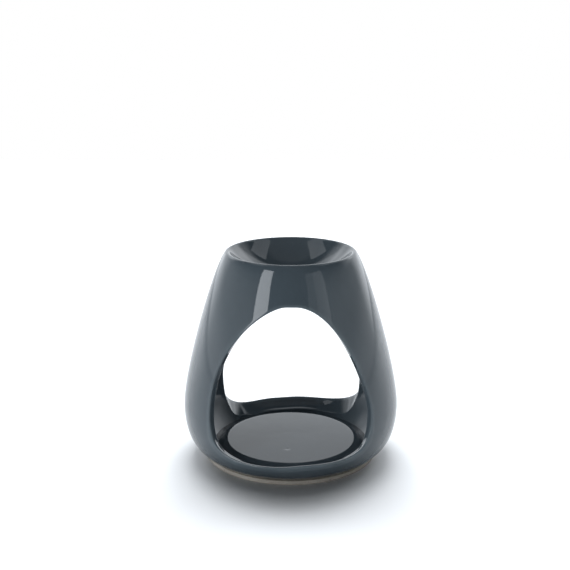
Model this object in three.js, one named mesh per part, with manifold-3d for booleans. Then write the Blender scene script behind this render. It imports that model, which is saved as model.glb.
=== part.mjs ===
// A glazed ceramic oil burner: an egg-shaped wall with a rounded lip, an oil dish seated in its mouth,
// two rounded triangular openings through which a tealight is put in and draws air, a floor slab that
// carries a round seat for the tealight, flat but for a falling border, and a bare foot ring underneath.
//
// Millimetres, +Z up. The origin is on the table under the middle of the foot, and the front opening
// faces -Y. Every ring of the body is round about the Z axis.

import * as THREE from 'three';
import { mergeVertices } from 'three/addons/utils/BufferGeometryUtils.js';
import Module from 'manifold-3d';

const wasm = await Module();
wasm.setup();

// Outside of the body

const BELLY_RADIUS = 50.8;        // the widest place
const BELLY_HEIGHT = 25;          // table to the widest place
const LIP_HEIGHT = 98.9;          // table to the crest of the lip
const LIP_CREST_RADIUS = 29.3;    // axis to the crest of the lip
const LIP_ROUND = 1.6;            // radius of the lip's edge
const MOUTH_SLOPE = 0.77;         // how far the wall leans in for each millimetre up, just below the lip
const HEEL_RADIUS = 38.8;         // edge of the wall's flat underside
const HEEL_REACH = 6.8;           // handles of the curve from the heel to the belly
const HEEL_RISE = 2.2;
const BELLY_HANDLE_DOWN = 14;
const BELLY_HANDLE_UP = 15.4;     // handles of the curve from the belly to the lip
const SHOULDER_HANDLE = 9.5;

// Walls, floor and foot

const WALL = 4.5;                 // thickness of the wall, square to its surface
const FOOT_HEIGHT = 2;            // table to the wall's underside
const FOOT_PROUD = 1.9;           // how far the foot ring stands out past the heel
const FOOT_WIDTH = 7.7;           // from the ring's outside to its bore
const FOOT_CHAMFER = 0.5;
const SLAB_INSET = 3.4;           // heel of the wall in to the edge of the floor slab
const SLAB_THICKNESS = 2.4;
const SEAT_INSET = 1.8;           // heel of the wall in to the edge of the tealight's seat
const SEAT_EDGE = 0.5;            // thickness of the seat at its edge
const SEAT_BORDER = 6.2;          // width of the border round the flat middle
const SEAT_FALL = 1.6;            // how far the border falls outwards
const SEAT_ROUND = 1.2;           // rounding between the flat middle and the border, measured along each
const HOLLOW_SLOPE = 55;          // degrees that the wall's inside rises at, where it leaves the seat
const HOLLOW_RISE = 12.1;         // edge of the seat up to where the wall has its even thickness
const HOLLOW_HANDLE = 4;          // handles of the curve between the two

// Oil dish and the gallery in the mouth that carries it

const DISH_DEPTH = 13;            // crest of the lip down to the middle of the dish
const DISH_THICKNESS = 4;
const RIM_INSET = 2.8;            // crest of the lip in to where the dish meets it
const GALLERY_DEPTH = 9.9;        // crest of the lip down to the ledge that the dish stands on
const GALLERY_THICKNESS = 3.4;
const GALLERY_COVE = 2.5;         // rounding under the gallery, against the wall

const CLEARANCE = 0.3;            // between a piece and the bore that it drops into

// Openings, cut through the wall with a knife and sponged round at both faces. Each side runs from the
// crown out to its widest place and back in to the sill, which falls inwards.

const EDGE_ROUND = 1.8;           // radius sponged onto the cut edges
const KNIFE_AIM = 35;             // the cuts point at a line this far beyond the body's axis
const CUTTER_REACH = 35;          // the cutter's outer tip, out past the belly
const CUTTER_STOP = 4.5;          // and its inner tip, short of the body's axis

const FRONT_OPENING = {
  facing: -1,
  crownDrop: 3.7,                 // gallery's underside down to the top of the cut
  crownFlat: 1.8,                 // half of the level stretch at the top
  sillFlat: 11,                   // half of the stretch along the bottom
  sillFall: 2.2,                  // how far the sill falls from the wall's outside to its inside
  left: {
    reach: 36.5,
    widestHeight: 29.9,
    sillHeight: 12,
    crownHandle: 9.9,
    flankHandle: 31.3,
    cornerDrop: 15.2,
    cornerHandle: 17,
  },
  right: {
    reach: 36.5,
    widestHeight: 31,
    sillHeight: 13.3,
    crownHandle: 18.7,
    flankHandle: 11,
    cornerDrop: 16.3,
    cornerHandle: 17,
  },
};

const REAR_OPENING = {
  facing: 1,
  crownDrop: 3.4,
  crownFlat: 3,
  sillFlat: 9.9,
  sillFall: 2.2,
  left: {
    reach: 36.3,
    widestHeight: 26.9,
    sillHeight: 9.4,
    crownHandle: 15,
    flankHandle: 14,
    cornerDrop: 21.9,
    cornerHandle: 11.5,
  },
  right: {
    reach: 36.9,
    widestHeight: 24.5,
    sillHeight: 9.9,
    crownHandle: 15,
    flankHandle: 18.6,
    cornerDrop: 11.3,
    cornerHandle: 18.3,
  },
};

// Smoothness of the facets

const TURN_STEPS = 72;            // round the axis
const CURVE_STEPS = 7;            // along each half of the wall
const LIP_STEPS = 3;              // on each side of the crest
const DISH_STEPS = 6;
const COVE_STEPS = 3;
const HOLLOW_STEPS = 4;
const SEAT_STEPS = 2;
const OUTLINE_STEPS = 56;         // round an opening
const ROUND_ANGLES = [66, 33, 0];   // degrees round a sponged edge, from the face to the cut
const CUT_MARGIN = 0.4;           // how far a cut runs past each face
const FINE_STEPS = 400;           // along each half of the wall, where heights are looked up
const LEAST_STEP = 1;             // height kept between an end of the inner face and its next point
const WELD = 1e-4;                // points closer than this are one point

const glaze = new THREE.MeshStandardMaterial({ color: 0x5d6a73, roughness: 0.12, metalness: 0 });
const bareClay = new THREE.MeshStandardMaterial({ color: 0xb3a08a, roughness: 0.85, metalness: 0 });

const CREST = 90;                 // degrees, the top of an arc

const point = (r, z) => new THREE.Vector2(r, z);
const rad = THREE.MathUtils.degToRad;

// Sizes that follow from those above

const floorHeight = FOOT_HEIGHT + SLAB_THICKNESS;
const slabRadius = HEEL_RADIUS - SLAB_INSET;
const seatRadius = HEEL_RADIUS - SEAT_INSET;
const seatEdgeHeight = floorHeight + SEAT_EDGE;
const footRadius = HEEL_RADIUS + FOOT_PROUD;
const dishRimRadius = LIP_CREST_RADIUS - RIM_INSET;
const galleryHeight = LIP_HEIGHT - GALLERY_DEPTH;
const ceilingHeight = galleryHeight - GALLERY_THICKNESS;

// Where the dish's inner sphere touches the lip's round from inside, and where its centre lies

const lipCentre = point(LIP_CREST_RADIUS, LIP_HEIGHT - LIP_ROUND);
const dishBottom = LIP_HEIGHT - DISH_DEPTH;
const dishRadius = (() => {
  const drop = lipCentre.y - dishBottom;
  return (lipCentre.x ** 2 + drop ** 2 - LIP_ROUND ** 2) / (2 * (drop + LIP_ROUND));
})();
const dishCentreHeight = dishBottom + dishRadius;
const dishHeightAt = (r) => dishCentreHeight - Math.sqrt(dishRadius ** 2 - r ** 2);

// The outside of the wall: heel to belly, then belly to lip, each one cubic curve

const mouthLean = Math.atan(MOUTH_SLOPE);
const lipStart = lipCentre.clone()
  .add(point(Math.cos(mouthLean), Math.sin(mouthLean)).multiplyScalar(LIP_ROUND));

const heelCurve = new THREE.CubicBezierCurve(
  point(HEEL_RADIUS, FOOT_HEIGHT),
  point(HEEL_RADIUS + HEEL_REACH, FOOT_HEIGHT + HEEL_RISE),
  point(BELLY_RADIUS, BELLY_HEIGHT - BELLY_HANDLE_DOWN),
  point(BELLY_RADIUS, BELLY_HEIGHT),
);
const shoulderCurve = new THREE.CubicBezierCurve(
  point(BELLY_RADIUS, BELLY_HEIGHT),
  point(BELLY_RADIUS, BELLY_HEIGHT + BELLY_HANDLE_UP),
  lipStart.clone().add(point(Math.sin(mouthLean), -Math.cos(mouthLean)).multiplyScalar(SHOULDER_HANDLE)),
  lipStart,
);

// Evenly spaced samples of a curve, each with the wall's outward normal there
function samplesOf(curve, steps) {
  const samples = [];
  for (let i = 0; i <= steps; i++) {
    const along = curve.getTangentAt(i / steps);
    samples.push({ at: curve.getPointAt(i / steps), normal: point(along.y, -along.x) });
  }
  return samples;
}

function wallSamples(steps) {
  return [...samplesOf(heelCurve, steps), ...samplesOf(shoulderCurve, steps).slice(1)];
}

// Where a height lies along a line that only rises: the point above it, and the share of the way there
function placeAt(line, height) {
  const upper = Math.max(1, line.findIndex((p) => p.y >= height));
  return { upper, share: (height - line[upper - 1].y) / (line[upper].y - line[upper - 1].y) };
}

function radiusAt(line, height) {
  const { upper, share } = placeAt(line, height);
  return THREE.MathUtils.lerp(line[upper - 1].x, line[upper].x, share);
}

// The wall's outside at a height: its radius and its outward normal, as radial and upward parts
const fineWall = wallSamples(FINE_STEPS);
const fineOutside = fineWall.map((s) => s.at);
function wallAt(height) {
  const { upper, share } = placeAt(fineOutside, height);
  return {
    radius: radiusAt(fineOutside, height),
    normal: fineWall[upper - 1].normal.clone().lerp(fineWall[upper].normal, share).normalize(),
  };
}

// The inside of the wall, from the seat's edge up: a hollow curve, then the outside set in by the wall
const inset = (s) => s.at.clone().addScaledVector(s.normal, -WALL);
const fineInset = fineWall.map(inset);
const hollowTop = seatEdgeHeight + HOLLOW_RISE;
const hollowCurve = (() => {
  const seatBore = seatRadius + CLEARANCE;
  const slope = rad(HOLLOW_SLOPE);
  const end = point(radiusAt(fineInset, hollowTop), hollowTop);
  const rising = fineWall[placeAt(fineInset, hollowTop).upper].normal;
  return new THREE.CubicBezierCurve(
    point(seatBore, seatEdgeHeight),
    point(seatBore + HOLLOW_HANDLE * Math.cos(slope), seatEdgeHeight + HOLLOW_HANDLE * Math.sin(slope)),
    point(end.x + HOLLOW_HANDLE * rising.y, end.y - HOLLOW_HANDLE * rising.x),
    end,
  );
})();
const fineInside = [
  ...hollowCurve.getPoints(FINE_STEPS),
  ...fineInset.filter((p) => p.y > hollowTop + WELD),
];

// Points of the wall's inside from the seat's edge up to a height
function innerFace(toHeight, steps) {
  const between = wallSamples(steps).map(inset)
    .filter((p) => p.y > hollowTop + LEAST_STEP && p.y < toHeight - LEAST_STEP);
  const end = point(radiusAt(fineInside, toHeight), toHeight);
  return [...hollowCurve.getPoints(HOLLOW_STEPS), ...between, end];
}

// Points of an arc about a centre, from one angle to another in degrees
function arc(centre, radius, fromDegrees, toDegrees, steps) {
  const points = [];
  for (let i = 0; i <= steps; i++) {
    const angle = rad(THREE.MathUtils.lerp(fromDegrees, toDegrees, i / steps));
    points.push(centre.clone().add(point(Math.cos(angle), Math.sin(angle)).multiplyScalar(radius)));
  }
  return points;
}

// A ring or a round piece: the profile closes on itself, or runs from the axis to the axis. It is
// listed anticlockwise in (r, z), so that the faces point outwards.
function turned(profile, closed) {
  const points = closed ? [...profile, profile[0].clone()] : profile;
  const geometry = new THREE.LatheGeometry(points, TURN_STEPS).rotateX(Math.PI / 2);
  geometry.deleteAttribute('normal');
  geometry.deleteAttribute('uv');
  return mergeVertices(geometry, WELD);
}

function solidOf(geometry) {
  return new wasm.Manifold(new wasm.Mesh({
    numProp: 3,
    vertProperties: new Float32Array(geometry.attributes.position.array),
    triVerts: new Uint32Array(geometry.index.array),
  }));
}

function geometryOf(solid) {
  const mesh = solid.getMesh();
  const geometry = new THREE.BufferGeometry();
  geometry.setAttribute('position', new THREE.BufferAttribute(mesh.vertProperties, 3));
  geometry.setIndex(new THREE.BufferAttribute(mesh.triVerts, 1));
  return geometry;
}

// Outline of an opening as seen from the front, x to the right and z up, anticlockwise from the crown
function openingOutline(opening) {
  const { crownDrop, crownFlat, sillFlat, left, right } = opening;
  const crownHeight = ceilingHeight - crownDrop;
  const path = new THREE.Path();
  path.moveTo(crownFlat, crownHeight);
  path.lineTo(-crownFlat, crownHeight);
  path.bezierCurveTo(
    -crownFlat - left.crownHandle, crownHeight,
    -left.reach, left.widestHeight + left.flankHandle,
    -left.reach, left.widestHeight,
  );
  path.bezierCurveTo(
    -left.reach, left.widestHeight - left.cornerDrop,
    -sillFlat - left.cornerHandle, left.sillHeight,
    -sillFlat, left.sillHeight,
  );
  path.bezierCurveTo(
    0, left.sillHeight,
    0, right.sillHeight,
    sillFlat, right.sillHeight,
  );
  path.bezierCurveTo(
    sillFlat + right.cornerHandle, right.sillHeight,
    right.reach, right.widestHeight - right.cornerDrop,
    right.reach, right.widestHeight,
  );
  path.bezierCurveTo(
    right.reach, right.widestHeight + right.flankHandle,
    crownFlat + right.crownHandle, crownHeight,
    crownFlat, crownHeight,
  );
  return path.getSpacedPoints(OUTLINE_STEPS).slice(0, OUTLINE_STEPS);
}

// Steps through the wall at an opening's edge: depth is measured in from a face, and spread is how far
// the rounded edge stands back from the cut. The first step runs past the face.
function edgeSteps() {
  const steps = ROUND_ANGLES.map((degrees) => ({
    depth: EDGE_ROUND * (1 - Math.sin(rad(degrees))),
    spread: EDGE_ROUND * (1 - Math.cos(rad(degrees))),
  }));
  const steepest = rad(ROUND_ANGLES[0]);
  const runOut = (steps[0].depth + CUT_MARGIN) / Math.cos(steepest);
  const past = { depth: -CUT_MARGIN, spread: steps[0].spread + runOut * Math.sin(steepest) };
  return [past, ...steps];
}

// How far a cut that starts at a height has fallen at the wall's inside: all of the sill's fall along the
// sill, smoothly less up to the widest place
function fallAt(opening, height) {
  const { sillFall, left, right } = opening;
  const sill = Math.min(left.sillHeight, right.sillHeight);
  const widest = Math.min(left.widestHeight, right.widestHeight);
  return sillFall * (1 - THREE.MathUtils.smoothstep(height, sill, widest));
}

// The wall's inside, straight through from a spot on its outside: in plan, the cut aims at one line
function insideSpot(opening, at) {
  const height = at.z - fallAt(opening, at.z);
  const spot = point(at.x, at.y);
  const aim = point(0, -opening.facing * KNIFE_AIM).sub(spot).normalize();
  const inwards = -spot.dot(aim);
  const far = spot.lengthSq() - radiusAt(fineInside, height) ** 2;
  spot.addScaledVector(aim, inwards - Math.sqrt(inwards ** 2 - far));
  return new THREE.Vector3(spot.x, spot.y, height);
}

// The solid that an opening takes out of the wall: its outline carried along the knife's direction,
// flared at both faces by the rounded edge and closed by a cone at each end
function openingCutter(opening) {
  const outline = openingOutline(opening);
  const surface = outline.map(({ x, y: height }) => {
    const wall = wallAt(height);
    const depth = opening.facing * Math.sqrt(wall.radius ** 2 - x ** 2);
    const at = new THREE.Vector3(x, depth, height);
    const normal = new THREE.Vector3(
      (wall.normal.x * x) / wall.radius,
      (wall.normal.x * depth) / wall.radius,
      wall.normal.y,
    );
    const knife = insideSpot(opening, at).sub(at);
    return { at, normal, knife: knife.clone().normalize(), through: knife.length() };
  });
  surface.forEach((spot, k) => {
    const next = surface[(k + 1) % surface.length].at;
    const last = surface[(k + surface.length - 1) % surface.length].at;
    const along = next.clone().sub(last);
    spot.outwards = along.cross(spot.normal).multiplyScalar(-opening.facing).normalize();
  });

  const entry = edgeSteps();
  const rings = [
    ...entry.map((step) => surface.map((s) => (
      s.at.clone().addScaledVector(s.knife, step.depth).addScaledVector(s.outwards, step.spread)
    ))),
    ...entry.slice().reverse().map((step) => surface.map((s) => (
      s.at.clone().addScaledVector(s.knife, s.through - step.depth).addScaledVector(s.outwards, step.spread)
    ))),
  ];
  const middle = (ceilingHeight - opening.crownDrop + opening.left.sillHeight) / 2;
  const outside = new THREE.Vector3(0, opening.facing * (BELLY_RADIUS + CUTTER_REACH), BELLY_HEIGHT);
  const inside = new THREE.Vector3(0, opening.facing * CUTTER_STOP, middle);
  return lofted(rings, outside, inside, opening.facing > 0);
}

// A closed solid through rings of equally many points, closed by a fan to a tip at each end
function lofted(rings, firstTip, lastTip, flipped) {
  const count = rings[0].length;
  const points = [...rings.flat(), firstTip, lastTip];
  const first = rings.length * count;
  const faces = [];
  const addFace = (a, b, c) => faces.push(...(flipped ? [a, c, b] : [a, b, c]));
  for (let k = 0; k < count; k++) {
    const next = (k + 1) % count;
    for (let ring = 0; ring < rings.length - 1; ring++) {
      const here = ring * count;
      const there = here + count;
      addFace(here + k, there + k, there + next);
      addFace(here + k, there + next, here + next);
    }
    const lastRing = first - count;
    addFace(first, k, next);
    addFace(first + 1, lastRing + next, lastRing + k);
  }
  const geometry = new THREE.BufferGeometry();
  geometry.setAttribute('position', new THREE.Float32BufferAttribute(points.flatMap((p) => p.toArray()), 3));
  geometry.setIndex(faces);
  return geometry;
}

// The wall with its lip and gallery, cut through at the front and the back
function makeBodyShell() {
  const slabBore = slabRadius + CLEARANCE;
  const dishBore = dishRimRadius + CLEARANCE;
  const galleryBore = galleryInside() + CLEARANCE;
  const outside = wallSamples(CURVE_STEPS).map((s) => s.at);
  const lipFrom = THREE.MathUtils.radToDeg(mouthLean);
  const lipTo = 180 - THREE.MathUtils.radToDeg(Math.atan2(dishCentreHeight - lipCentre.y, lipCentre.x));
  const inner = innerFace(ceilingHeight - GALLERY_COVE, CURVE_STEPS).reverse();
  const coveTop = point(inner[0].x - GALLERY_COVE, ceilingHeight);
  const cove = arc(point(coveTop.x, inner[0].y), GALLERY_COVE, 90, 0, COVE_STEPS);
  const profile = [
    point(slabBore, FOOT_HEIGHT),
    ...outside,
    ...arc(lipCentre, LIP_ROUND, lipFrom, CREST, LIP_STEPS).slice(1),
    ...arc(lipCentre, LIP_ROUND, CREST, lipTo, LIP_STEPS).slice(1),
    point(dishBore, dishHeightAt(dishBore)),
    point(dishBore, galleryHeight),
    point(galleryBore, galleryHeight),
    point(galleryBore, ceilingHeight),
    ...cove.slice(0, -1),
    ...inner,
    point(seatRadius + CLEARANCE, floorHeight),
    point(slabBore, floorHeight),
  ];
  let solid = solidOf(turned(profile, true));
  for (const opening of [FRONT_OPENING, REAR_OPENING]) {
    solid = solid.subtract(solidOf(openingCutter(opening)));
  }
  return geometryOf(solid);
}

// Radius of the dish's underside where it passes the gallery
function galleryInside() {
  const drop = dishCentreHeight - galleryHeight;
  return Math.sqrt((dishRadius + DISH_THICKNESS) ** 2 - drop ** 2);
}

// The bowl: a hollow sphere's cap with a flat-bottomed flange that stands on the gallery
function makeOilDish() {
  const centre = point(0, dishCentreHeight);
  const underside = dishRadius + DISH_THICKNESS;
  const flangeAngle = THREE.MathUtils.radToDeg(Math.asin(galleryInside() / underside));
  const rimAngle = THREE.MathUtils.radToDeg(Math.asin(dishRimRadius / dishRadius));
  const profile = [
    ...arc(centre, underside, -90, -90 + flangeAngle, DISH_STEPS),
    point(dishRimRadius, galleryHeight),
    ...arc(centre, dishRadius, -90 + rimAngle, -90, DISH_STEPS),
  ];
  profile[0].x = 0;
  profile[profile.length - 1].x = 0;
  return turned(profile, false);
}

function makeFloorSlab() {
  return turned([
    point(0, FOOT_HEIGHT),
    point(slabRadius, FOOT_HEIGHT),
    point(slabRadius, floorHeight),
    point(0, floorHeight),
  ], false);
}

// The seat: flat where the tealight stands, with a border that falls to the foot of the wall
function makeTealightSeat() {
  const edge = point(seatRadius, seatEdgeHeight);
  const ridge = point(seatRadius - SEAT_BORDER, seatEdgeHeight + SEAT_FALL);
  const along = edge.clone().sub(ridge).normalize();
  const rounding = new THREE.QuadraticBezierCurve(
    ridge.clone().addScaledVector(along, SEAT_ROUND),
    ridge,
    point(ridge.x - SEAT_ROUND, ridge.y),
  );
  return turned([
    point(0, floorHeight),
    point(seatRadius, floorHeight),
    edge,
    ...rounding.getPoints(SEAT_STEPS),
    point(0, ridge.y),
  ], false);
}

function makeFootRing() {
  const bore = footRadius - FOOT_WIDTH;
  return turned([
    point(bore, 0),
    point(footRadius - FOOT_CHAMFER, 0),
    point(footRadius, FOOT_CHAMFER),
    point(footRadius, FOOT_HEIGHT - FOOT_CHAMFER),
    point(footRadius - FOOT_CHAMFER, FOOT_HEIGHT),
    point(bore, FOOT_HEIGHT),
  ], true);
}

function piece(name, geometry, material) {
  const mesh = new THREE.Mesh(geometry, material);
  mesh.name = name;
  return mesh;
}

const burner = new THREE.Group();
burner.name = 'oil_burner';
burner.add(
  piece('body_shell', makeBodyShell(), glaze),
  piece('oil_dish', makeOilDish(), glaze),
  piece('floor_slab', makeFloorSlab(), glaze),
  piece('tealight_seat', makeTealightSeat(), glaze),
  piece('foot_ring', makeFootRing(), bareClay),
);

export default burner;
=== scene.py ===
"""A glazed ceramic oil burner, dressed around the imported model.

Each CAD solid is stood for by one finely worked surface of the same sizes: the wall with its lip, gallery
and two openings, the dish, the floor, the tealight's seat and the bare foot ring. Sizes are in millimetres
and become metres where a mesh is made. The origin is on the table under the middle of the foot, +Z is up
and the front opening faces -Y.
"""

from __future__ import annotations

import logging
import math
from dataclasses import dataclass, replace
from enum import Enum

import bpy
import numpy as np
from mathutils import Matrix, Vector

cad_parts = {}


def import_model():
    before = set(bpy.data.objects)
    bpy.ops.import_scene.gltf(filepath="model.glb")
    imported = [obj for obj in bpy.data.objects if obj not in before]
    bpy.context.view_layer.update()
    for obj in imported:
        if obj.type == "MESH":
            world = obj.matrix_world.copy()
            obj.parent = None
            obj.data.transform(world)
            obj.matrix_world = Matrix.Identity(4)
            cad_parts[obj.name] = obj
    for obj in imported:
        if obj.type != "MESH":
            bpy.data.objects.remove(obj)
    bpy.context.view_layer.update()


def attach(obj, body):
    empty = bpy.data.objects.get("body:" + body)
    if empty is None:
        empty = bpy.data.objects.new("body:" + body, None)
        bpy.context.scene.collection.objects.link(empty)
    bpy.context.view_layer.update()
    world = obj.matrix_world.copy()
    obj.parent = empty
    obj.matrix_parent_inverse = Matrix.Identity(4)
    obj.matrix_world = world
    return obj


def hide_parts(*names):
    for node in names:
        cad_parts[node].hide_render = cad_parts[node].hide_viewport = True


MM = 0.001
BODY = "root"
# Attribute for glaze that runs thinner and paler on edges and the lip: partly real, partly a painted
# highlight.
THIN_AND_HIGHLIGHT = "glaze_thin_and_highlight"
WELD_MM = 1e-4
CREASE_MM = 0.02
DAYLIGHT = (0.96, 1.0, 1.045)
WHITE = (1.0, 1.0, 1.0)

Pair = tuple[float, float]
Triple = tuple[float, float, float]
Socket = bpy.types.NodeSocket
Tree = bpy.types.NodeTree
Material = bpy.types.Material
Object = bpy.types.Object

log = logging.getLogger("oil_burner")


class Side(Enum):
    """Which way an opening looks: its value is the sign of the Y axis there."""

    FRONT = -1
    REAR = 1


# Lines and surfaces


def cubic(corners: list[Pair], steps: int) -> np.ndarray:
    """Points of a cubic curve: its four corners, weighted by the Bernstein terms of t from 0 to 1.

    Args:
        corners: Start, two handles and end.
        steps: How many steps t takes.

    Returns:
        The points, one row each.
    """
    t = np.linspace(0.0, 1.0, steps + 1)[:, None]
    start, leave, arrive, end = np.asarray(corners, float)
    return (1 - t) ** 3 * start + 3 * (1 - t) ** 2 * t * leave + 3 * (1 - t) * t**2 * arrive + t**3 * end


def arc(centre: Pair, radius: float, start: float, end: float, steps: int) -> np.ndarray:
    """Points of a circle's arc: centre plus radius times (cos, sin) of an evenly growing angle.

    Args:
        centre: Radius and height of the arc's centre.
        radius: Radius of the arc.
        start: First angle in degrees, from outwards and turning up.
        end: Last angle in degrees.
        steps: How many steps the angle takes.

    Returns:
        The points, one row each.
    """
    angle = np.radians(np.linspace(start, end, steps + 1))
    return np.asarray(centre, float) + radius * np.stack([np.cos(angle), np.sin(angle)], axis=1)


def joined(*lines: np.ndarray) -> np.ndarray:
    """One line through several, with each point that repeats the one before it left out."""
    points = np.concatenate(lines)
    step = np.linalg.norm(np.diff(points, axis=0), axis=1)
    return points[np.concatenate([[True], step > WELD_MM])]


def crisp_end(line: np.ndarray) -> np.ndarray:
    """The line with a point close before its end, so that smooth shading stays even up to a corner there."""
    back = line[-2] - line[-1]
    return np.insert(line, -1, line[-1] + back * (CREASE_MM / np.linalg.norm(back)), axis=0)


class Line:
    """A line in the half-plane of radius and height, read by the length along it."""

    def __init__(self, points: np.ndarray) -> None:
        """Takes the line's points, finely spaced, one row of radius and height each."""
        self.points = points
        self.along = np.concatenate([[0.0], np.cumsum(np.linalg.norm(np.diff(points, axis=0), axis=1))])
        slope = np.gradient(points, self.along, axis=0)
        self.tangents = slope / np.linalg.norm(slope, axis=1, keepdims=True)

    @property
    def length(self) -> float:
        """The whole length."""
        return float(self.along[-1])

    def at(self, length: np.ndarray) -> tuple[np.ndarray, np.ndarray]:
        """Radius and height where the line has run a length."""
        return tuple(np.interp(length, self.along, values) for values in self.points.T)

    def tangent(self, length: np.ndarray) -> tuple[np.ndarray, np.ndarray]:
        """Radial and upward part of the line's direction where it has run a length."""
        return tuple(np.interp(length, self.along, values) for values in self.tangents.T)

    def at_height(self, height: np.ndarray) -> np.ndarray:
        """The length at which a rising line reaches a height."""
        return np.interp(height, self.points[:, 1], self.along)

    def inset(self, distance: float) -> Line:
        """The line that runs a distance inside this one, square to it."""
        normals = np.stack([self.tangents[:, 1], -self.tangents[:, 0]], axis=1)
        return Line(self.points - distance * normals)

    def between(self, low: float, high: float) -> Line:
        """The part of a rising line between two heights."""
        first, last = self.at_height(np.array([low, high]))
        middle = self.points[(self.along > first + WELD_MM) & (self.along < last - WELD_MM)]
        ends = np.stack(self.at(np.array([first, last])), axis=1)
        return Line(np.concatenate([ends[:1], middle, ends[1:]]))


@dataclass
class Patch:
    """A grid of points with its faces, and at each point how far the glaze runs thinner and paler, partly a
    painted highlight.
    """

    points: np.ndarray
    quads: np.ndarray
    triangles: np.ndarray
    thin_and_highlight: np.ndarray


def grid_patch(points: np.ndarray, thin_and_highlight: np.ndarray) -> Patch:
    """Faces over a grid whose columns close on themselves.

    Args:
        points: Rows by columns by three.
        thin_and_highlight: Rows by columns.

    Returns:
        The patch. Each face joins two neighbouring rows and two neighbouring columns.
    """
    rows, columns = points.shape[:2]
    first = np.arange(rows * columns).reshape(rows, columns)
    beside = np.roll(first, -1, axis=1)
    quads = np.stack([first[:-1], beside[:-1], beside[1:], first[1:]], axis=-1).reshape(-1, 4)
    return Patch(points.reshape(-1, 3), quads, np.empty((0, 3), int), thin_and_highlight.ravel())


def turned_patch(line: np.ndarray, around: int, thin_and_highlight: np.ndarray | None = None) -> Patch:
    """A line turned about the Z axis: x is radius times sine, and y is minus radius times cosine.

    Args:
        line: Radius and height, one row each. A point on the axis becomes one shared point.
        around: How many columns go round.
        thin_and_highlight: How far the glaze runs thinner and paler at each point of the line, partly a
            painted highlight.

    Returns:
        The patch, with triangles where the line starts or ends on the axis.
    """
    thin_and_highlight = np.zeros(len(line)) if thin_and_highlight is None else thin_and_highlight
    angle = np.arange(around) * (2 * math.pi / around)
    radius, height = line[:, :1], line[:, 1:]
    level = np.broadcast_to(height, (len(line), around))
    grid = np.stack([radius * np.sin(angle), -radius * np.cos(angle), level], axis=-1)
    patch = grid_patch(grid, np.repeat(thin_and_highlight[:, None], around, axis=1))
    column = np.arange(around)
    beside = np.roll(column, -1)
    last = (len(line) - 1) * around
    if line[0, 0] < WELD_MM:
        patch.quads = patch.quads[around:]
        patch.triangles = np.stack([np.zeros(around, int), around + beside, around + column], axis=1)
    if line[-1, 0] < WELD_MM:
        patch.quads = patch.quads[:-around]
        fan = np.stack([last - around + column, last - around + beside, np.full(around, last)], axis=1)
        patch.triangles = np.concatenate([patch.triangles, fan])
    return patch


def placed(name: str, data: bpy.types.ID) -> Object:
    """A new object in the scene, at the origin."""
    made = bpy.data.objects.new(name, data)
    bpy.context.scene.collection.objects.link(made)
    return made


def made_mesh(name: str, patches: list[Patch]) -> Object:
    """One closed mesh object from patches that meet: equal points are welded, and the faces point outwards.

    Args:
        name: The object's name.
        patches: Grids whose border points coincide, all wound the same way.

    Returns:
        The object, at the origin, in metres and smoothly shaded.
    """
    starts = np.cumsum([0] + [len(p.points) for p in patches[:-1]])
    points = np.concatenate([p.points for p in patches])
    thin_and_highlight = np.concatenate([p.thin_and_highlight for p in patches])
    keys = np.round(points / WELD_MM).astype(np.int64)
    _, kept, place = np.unique(keys, axis=0, return_index=True, return_inverse=True)
    place = place.ravel()
    quads = place[np.concatenate([p.quads + s for p, s in zip(patches, starts)])]
    triangles = place[np.concatenate([p.triangles + s for p, s in zip(patches, starts)])]
    mesh = bpy.data.meshes.new(name)
    mesh.from_pydata(points[kept] * MM, [], quads.tolist() + triangles.tolist(), shade_flat=False)
    if signed_volume(points[kept], quads, triangles) < 0:
        mesh.flip_normals()
    attribute = mesh.attributes.new(THIN_AND_HIGHLIGHT, "FLOAT", "POINT")
    attribute.data.foreach_set("value", thin_and_highlight[kept].astype(np.float32))
    mesh.update()
    return placed(name, mesh)


def signed_volume(points: np.ndarray, quads: np.ndarray, triangles: np.ndarray) -> float:
    """Volume inside the faces, negative if they point inwards: a sixth of the sum of triple products."""
    corners = np.concatenate([triangles, quads[:, [0, 1, 2]], quads[:, [0, 2, 3]]])
    a, b, c = (points[corners[:, k]] for k in range(3))
    return float(np.einsum("ij,ij->i", a, np.cross(b, c)).sum() / 6)


# Sizes of the burner


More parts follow.
